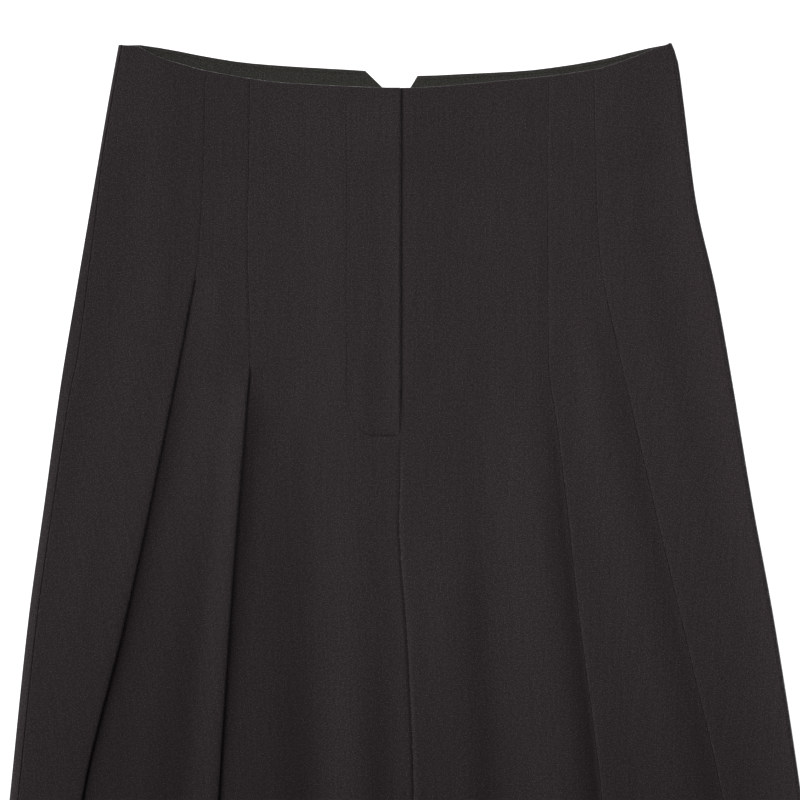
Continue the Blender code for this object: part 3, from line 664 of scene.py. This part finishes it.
def gunmetal_zinc(name):
    """Zinc alloy, die-cast and plated a dark gunmetal: smooth, with faint tumbling marks and paler wear."""
    mark = 0.3
    material, tree, metal = new_material(name)
    place = add(tree, "ShaderNodeTexCoord")
    marks = add(tree, "ShaderNodeTexNoise", {"Scale": 1 / (mark * MM), "Detail": 3},
                {"Vector": place.outputs["Object"]})
    wear = add(tree, "ShaderNodeTexNoise", {"Scale": 1 / (4 * MM), "Detail": 2},
               {"Vector": place.outputs["Object"]})
    shade = add(tree, "ShaderNodeMix", {"data_type": "RGBA", 6: colour("#3c3c40"), 7: colour("#6c6c70")},
                {0: wear.outputs["Fac"]})
    rough = add(tree, "ShaderNodeMapRange", {"To Min": 0.3, "To Max": 0.5}, {"Value": marks.outputs["Fac"]})
    bump = add(tree, "ShaderNodeBump", {"Strength": 0.2, "Distance": 0.03 * MM},
               {"Height": marks.outputs["Fac"]})
    tree.links.new(shade.outputs[2], metal.inputs["Base Color"])
    tree.links.new(rough.outputs[0], metal.inputs["Roughness"])
    tree.links.new(bump.outputs["Normal"], metal.inputs["Normal"])
    metal.inputs["Metallic"].default_value = 1
    return material


OUTSIDE = suiting_twill("suiting twill, right side", "#141012", "#423a3c", 0.06)
INSIDE = suiting_twill("suiting twill, wrong side", "#161614", "#474641", 0.05)
ZIP_TAPE = woven_tape("polyester zip tape")
# The thread's near-black tone is partly its own colour and partly painted shade for the needle holes and
# stitch dimples.
THREAD_WITH_PAINTED_SHADE = spun_thread("core-spun sewing thread", "#080707", "#100e0e")
COIL = nylon_coil("nylon zip coil")
GUNMETAL = gunmetal_zinc("gunmetal-plated zinc")


# ---- cloth ----

def place_of(x, down, z):
    return ((FLY_X + x) * MM, (WAIST_Y - down) * MM, z * MM)


def cloth(name, rows, material, thickness=CLOTH):
    """A sheet of cloth through rows of (x, down, z) points, as a thin shell. Its UV map holds the flat cut:
    how far along the cloth a point is from the row's last point, and how far down."""
    width = len(rows[0])
    mesh = bpy.data.meshes.new(name)
    faces = [(r * width + i, (r + 1) * width + i, (r + 1) * width + i + 1, r * width + i + 1)
             for r in range(len(rows) - 1) for i in range(width - 1)]
    mesh.from_pydata([place_of(*point) for row in rows for point in row], [], faces)
    cuts = []
    for row in rows:
        along = [0]
        for (x0, _, z0), (x1, _, z1) in zip(row, row[1:]):
            along.append(along[-1] + math.hypot(x1 - x0, z1 - z0))
        cuts += [((reach - along[-1]) * MM, -point[1] * MM) for reach, point in zip(along, row)]
    layer = mesh.uv_layers.new(name="cut")
    for loop, entry in zip(mesh.loops, layer.data):
        entry.uv = cuts[loop.vertex_index]
    mesh.polygons.foreach_set("use_smooth", [True] * len(mesh.polygons))
    mesh.materials.append(material)
    obj = bpy.data.objects.new(name, mesh)
    bpy.context.scene.collection.objects.link(obj)
    shell = obj.modifiers.new("cloth thickness", "SOLIDIFY")
    shell.thickness = thickness * MM
    shell.offset = 0
    return obj


def cut_of(rows):
    """The flat cut of a sheet: its (width, length) and its area, in metres."""
    widths, area = [], 0
    for row in rows:
        widths.append(sum(math.hypot(x1 - x0, z1 - z0) for (x0, _, z0), (x1, _, z1) in zip(row, row[1:])))
    middle = len(rows[0]) // 2
    steps = [lower[middle][1] - upper[middle][1] for upper, lower in zip(rows, rows[1:])]
    for i, step in enumerate(steps):
        area += step * (widths[i] + widths[i + 1]) / 2
    downs = [point[1] for row in rows for point in row]
    return (max(widths) * MM, (max(downs) - min(downs)) * MM), area * MM * MM


def lay(name, node, rows, material, with_pieces=(), thickness=CLOTH):
    """Makes a sheet of cloth in place of its CAD node and hides that node. It works out the sheet's flat cut,
    which nothing uses.
    """
    obj = cloth(name, rows, material, thickness)
    flat, area = cut_of(rows)
    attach(obj, "root")
    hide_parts(node)
    return obj


def front_rows(leg):
    """Close rows where the tucks are stitched, half a stitch apart, and wider ones below."""
    half_stitch = NEEDLE_PITCH / 2
    top = [0, 0.3, 0.6, 1] + [half_stitch * i for i in range(1, 170)]
    middle = spread(top[-1] + 3, 480, 58)
    low = spread(490, HEM - HEM_DEPTH - 4, 46)
    hem = [HEM - step for step in (35, 33.5, 32, 26, 18, 10, 5, 2.5, 1, 0.6, 0.3, 0)]
    rows = []
    for row in top + middle + low + hem:
        section = front_section(leg, row)
        rows.append([(leg.sign * out, down_of(leg, out, row), z) for out, z in section])
    return rows


def back_rows(leg):
    rows = []
    for row in [0, 0.3, 0.6, 1] + spread(4, 120, 20) + spread(130, HEM - 8, 90) + [HEM - 1, HEM - 0.3, HEM]:
        rows.append([(leg.sign * out, down_of(leg, out, row, back_waist), z)
                     for out, z in back_section(leg, row)])
    return rows


def facing_rows(leg):
    """The back facing, cut straight along its lower edge, under the V."""
    corner = notch_corner(leg)
    centre = centre_out(leg, 0)
    end = leg.outline[0][1] - FACING_SIDE_INSET
    rows = []
    for share in (0, 0.008, 0.02, 0.04, 0.08, 0.2, 0.35, 0.5, 0.65, 0.8, 0.95, 1):
        row = []
        for out in spread(centre, corner, 8)[:-1] + spread(corner, end, 40):
            x = leg.sign * out
            top = back_waist(x) + FACING_EDGE_INSET
            bottom = curve(BACK_WAIST, x) + FACING_DEPTH
            down = top + (bottom - top) * share
            row.append((x, down, FACING_LEVEL - 0.3 * edge_drop(down - top)))
        rows.append(row)
    return rows


def fly_facing_rows():
    """Behind the right front's fly edge, with the curved foot that the J stitching follows."""
    inner = 4
    rows = []
    for row in spread(1, 184, 50) + [190, 196, 202, 208, 213, 217, 221, 224, 226, 227.5]:
        past = max(0, row - (FLY_BOTTOM - FLY_FACING_CURVE)) / FLY_FACING_CURVE
        outer = inner + (FLY_FACING_WIDTH - inner) * math.sqrt(1 - past * past)
        level = FLY_FACING_LEVEL + waist_rise(row)
        rows.append([(-out, down_of(RIGHT_LEG, out, row), level + slider_bulge(-out, row))
                     for out in spread(inner, outer, 12)])
    return rows


def shield_rows():
    """The underlap on the left front, behind the zip."""
    rows = []
    for row in spread(1, SHIELD_END, 60):
        rows.append([(x, down_of(RIGHT_LEG, -x, row), SHIELD_LEVEL + waist_rise(row))
                     for x in spread(SHIELD_OUTER, SHIELD_INNER, 14)])
    return rows


def tape_rows():
    return [[(x, row, TAPE_LEVEL + waist_rise(row)) for x in spread(TAPE_LEFT, TAPE_RIGHT, 8)]
            for row in spread(TAPE_TOP, TAPE_END, 60)]


# ---- sewing ----

def stitch_line(path, pitch, share):
    """Even stitches along a path of (x, down, z) points: each one's middle, direction and length."""
    points = [Vector(place_of(*point)) for point in path]
    lengths = [0]
    for start, end in zip(points, points[1:]):
        lengths.append(lengths[-1] + (end - start).length)
    count = max(1, round(lengths[-1] / (pitch * MM)))
    stitches = []
    for i in range(count):
        at = lengths[-1] * (i + 0.5) / count
        last = next(j for j, length in enumerate(lengths) if length >= at)
        start, end = points[last - 1], points[last]
        t = (at - lengths[last - 1]) / (lengths[last] - lengths[last - 1])
        stitches.append((start.lerp(end, t), (end - start).normalized(), share * lengths[-1] / count))
    return stitches


def sew(name, lines, thread_radius, pitch=2.8, share=0.8):
    """One mesh of short rounded stitches along the lines, each a small capsule half sunk in the cloth."""
    bpy.ops.mesh.primitive_uv_sphere_add(segments=6, ring_count=6, radius=0.5)
    capsule = bpy.context.object
    shape = bmesh.new()
    for line in lines:
        for middle, way, length in stitch_line(line, pitch, share):
            turn = way.to_track_quat("Z", "Y").to_matrix().to_4x4()
            size = Matrix.Diagonal((2 * thread_radius * MM, 2 * thread_radius * MM, length, 1))
            before = len(shape.verts)
            shape.from_mesh(capsule.data)
            shape.verts.ensure_lookup_table()
            bmesh.ops.transform(shape, matrix=Matrix.Translation(middle) @ turn @ size,
                                verts=shape.verts[before:])
    bpy.data.objects.remove(capsule)
    mesh = bpy.data.meshes.new(name)
    shape.to_mesh(mesh)
    shape.free()
    mesh.polygons.foreach_set("use_smooth", [True] * len(mesh.polygons))
    mesh.materials.append(THREAD_WITH_PAINTED_SHADE)
    obj = bpy.data.objects.new(name, mesh)
    bpy.context.scene.collection.objects.link(obj)
    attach(obj, "root")
    return obj


def on_front(leg, out, row):
    """A point on top of the front cloth."""
    z = front_top(lie_of(leg, row), out) + CLOTH / 2
    return (leg.sign * out, down_of(leg, out, row), z)


def fly_stitching():
    """The J: down beside the fly, round its curved foot and in to the fly edge, with a bar at its end."""
    foot_top, foot_width = FLY_BOTTOM - J_FOOT_HEIGHT, FLY_FACING_WIDTH - J_FOOT_START
    straight = [(FLY_FACING_WIDTH, row) for row in spread(2, foot_top, 60)]
    foot = []
    for degrees in spread(0, 90, 16):
        turn = math.radians(degrees)
        foot.append((J_FOOT_START + foot_width * math.cos(turn), foot_top + J_FOOT_HEIGHT * math.sin(turn)))
    rest = [(out, FLY_BOTTOM) for out in spread(J_FOOT_START - 1, 2, 8)]
    return [on_front(RIGHT_LEG, out, row) for out, row in straight + foot + rest]


def bar_tack():
    """Close stitches on the end of the J, where the fly opening is secured."""
    return [[on_front(RIGHT_LEG, out, FLY_BOTTOM + offset) for out in spread(1, end, 12)]
            for offset, end in ((-0.5, 20.6), (0.5, 20))]


def understitching(leg):
    """A line of stitches just inside the back facing's edge."""
    outs = spread(notch_corner(leg) + 2, leg.outline[0][1] - FACING_SIDE_INSET - 1, 60)
    return [(leg.sign * out, back_waist(leg.sign * out) + FACING_EDGE_INSET + 1.8, FACING_LEVEL + CLOTH / 2)
            for out in outs]


def hem_stitches(leg):
    """Blind hemming: only the top of a stitch shows, every 9 mm along the turned-up edge."""
    row = HEM - HEM_DEPTH + 3
    lie = lie_of(leg, row)
    return [on_front(leg, out, row) for out in spread(lie.centre + 6, lie.seam - 6, 50)]


# ---- zip ----

def zip_coil():
    """The coil's two rows of teeth, closed, between the slider and the foot of the zip."""
    pitch, tooth_width, tooth_height = 1.5, 2.4, 0.9
    tooth_radius, tooth_bevel = 0.42, 0.12
    start, end = SLIDER_TOP + 10, TAPE_END - 4
    bpy.ops.mesh.primitive_cylinder_add(vertices=8, radius=tooth_radius * MM, depth=tooth_width * MM,
                                        rotation=(0, math.pi / 2, 0))
    tooth = bpy.context.object
    bpy.ops.object.transform_apply(rotation=True)
    bpy.ops.object.mode_set(mode="EDIT")
    bpy.ops.mesh.bevel(offset=tooth_bevel * MM, segments=1, affect="EDGES")
    bpy.ops.object.mode_set(mode="OBJECT")
    shape = bmesh.new()
    for i in range(int((end - start) / pitch)):
        row = start + i * pitch
        side = 0.5 if i % 2 else -0.5
        z = TAPE_LEVEL + waist_rise(row) + TAPE_THICK / 2 + tooth_height / 2 - 0.1
        before = len(shape.verts)
        shape.from_mesh(tooth.data)
        shape.verts.ensure_lookup_table()
        bmesh.ops.translate(shape, vec=place_of(-SLIDER_OUT + side, row, z), verts=shape.verts[before:])
    bpy.data.objects.remove(tooth)
    mesh = bpy.data.meshes.new("zip_coil")
    shape.to_mesh(mesh)
    shape.free()
    mesh.materials.append(COIL)
    obj = bpy.data.objects.new("zip_coil", mesh)
    bpy.context.scene.collection.objects.link(obj)
    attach(obj, "root")
    return obj


# ---- studio ----

def camera_above():
    """Straight above the upper legs, 528 mm of the floor across the square picture."""
    aim_x, aim_down, cloth_level = 0, 205.6, 4
    frame_width, lens, sensor = 528, 100, 36
    data = bpy.data.cameras.new("camera")
    data.lens = lens
    data.sensor_width = sensor
    data.clip_end = 20
    camera = bpy.data.objects.new("camera", data)
    camera.location = place_of(aim_x, aim_down, cloth_level + frame_width * lens / sensor)
    bpy.context.scene.collection.objects.link(camera)
    bpy.context.scene.camera = camera


def pale_floor():
    """A white light table: it glows, so the cloth throws no shadow on it."""
    bpy.ops.mesh.primitive_plane_add(size=12, location=(0, 0, -0.3 * MM))
    floor = bpy.context.object
    floor.name = floor.data.name = "floor"
    material, _, surface = new_material("white light table")
    surface.inputs["Base Color"].default_value = (0.35, 0.35, 0.35, 1)
    surface.inputs["Roughness"].default_value = 0.9
    surface.inputs["Emission Color"].default_value = (1, 1, 1, 1)
    surface.inputs["Emission Strength"].default_value = 0.97
    floor.data.materials.append(material)


def soft_light(name, azimuth, elevation, angle, strength):
    """A big soft light far off. Azimuth is its side: 0 beyond the waist, 90 on the picture's left."""
    light = bpy.data.lights.new(name, "SUN")
    light.angle = math.radians(angle)
    light.energy = strength
    lamp = bpy.data.objects.new(name, light)
    side, up = math.radians(azimuth), math.radians(elevation)
    towards = Vector((-math.sin(side) * math.cos(up), math.cos(side) * math.cos(up), math.sin(up)))
    lamp.rotation_mode = "QUATERNION"
    lamp.rotation_quaternion = towards.to_track_quat("Z", "Y")
    lamp.location = towards * 3
    bpy.context.scene.collection.objects.link(lamp)


def top_light():
    """A long soft box beyond the waist, so that the light falls away a little towards the hem."""
    light = bpy.data.lights.new("top light", "AREA")
    light.shape = "RECTANGLE"
    light.size, light.size_y = 1.2, 0.4
    light.energy = 3
    lamp = bpy.data.objects.new("top light", light)
    lamp.location = (0.4, 1.4, 1.1)
    lamp.rotation_euler = (-math.radians(40), 0, 0)
    bpy.context.scene.collection.objects.link(lamp)


def overhead_pool():
    """A soft spot beside the camera, which lights the fly and the middle a little more than the corners."""
    light = bpy.data.lights.new("overhead pool", "SPOT")
    light.energy = 36
    light.spot_size = math.radians(32)
    light.spot_blend = 1
    light.shadow_soft_size = 0.1
    lamp = bpy.data.objects.new("overhead pool", light)
    lamp.location = place_of(75, 130, 1600)
    bpy.context.scene.collection.objects.link(lamp)


def studio_room():
    """Dim overhead and pale at the horizon, so that low views have a pale background."""
    world = bpy.data.worlds.new("studio")
    bpy.context.scene.world = world
    world.use_nodes = True
    tree = world.node_tree
    background = tree.nodes["Background"]
    place = add(tree, "ShaderNodeTexCoord")
    split = add(tree, "ShaderNodeSeparateXYZ", links={0: place.outputs["Generated"]})
    height = add(tree, "ShaderNodeMapRange",
                 {"From Min": 0.1, "From Max": 0.3, "To Min": 0.9, "To Max": 0.05},
                 {"Value": split.outputs["Z"]})
    tree.links.new(height.outputs[0], background.inputs["Color"])
    bpy.context.scene.view_settings.view_transform = "Standard"


# ---- the trousers ----

camera_above()
pale_floor()
studio_room()
soft_light("key", azimuth=72, elevation=27, angle=30, strength=4.2)
top_light()
overhead_pool()

for leg in (RIGHT_LEG, LEFT_LEG):
    back = f"{leg.name}_back_cloth"
    lay(back, f"{leg.name}_back", back_rows(leg), OUTSIDE)
    edge_stitches = sew(f"{leg.name}_understitching", [understitching(leg)], 0.16)
    lay(f"{leg.name}_facing_cloth", f"{leg.name}_back_facing", facing_rows(leg), INSIDE,
        [edge_stitches])
    hem = sew(f"{leg.name}_hem_stitches", [hem_stitches(leg)], 0.14, pitch=9, share=0.12)
    sewn = [hem]
    if leg is RIGHT_LEG:
        sewn.append(sew("fly_stitching", [fly_stitching()], 0.22, share=0.6))
        sewn.append(sew("fly_bar_tack", bar_tack(), 0.28, pitch=1.6, share=0.75))
    lay(f"{leg.name}_front_cloth", f"{leg.name}_front", front_rows(leg), OUTSIDE, sewn)

lay("fly_shield_cloth", "fly_shield", shield_rows(), INSIDE)
lay("zip_tape_cloth", "zip_tape", tape_rows(), ZIP_TAPE, [zip_coil()],
    TAPE_THICK)
lay("fly_facing_cloth", "fly_facing", fly_facing_rows(), INSIDE)
for node in ("zip_slider", "waist_hook", "waist_bar"):
    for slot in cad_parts[node].material_slots:
        slot.material = GUNMETAL
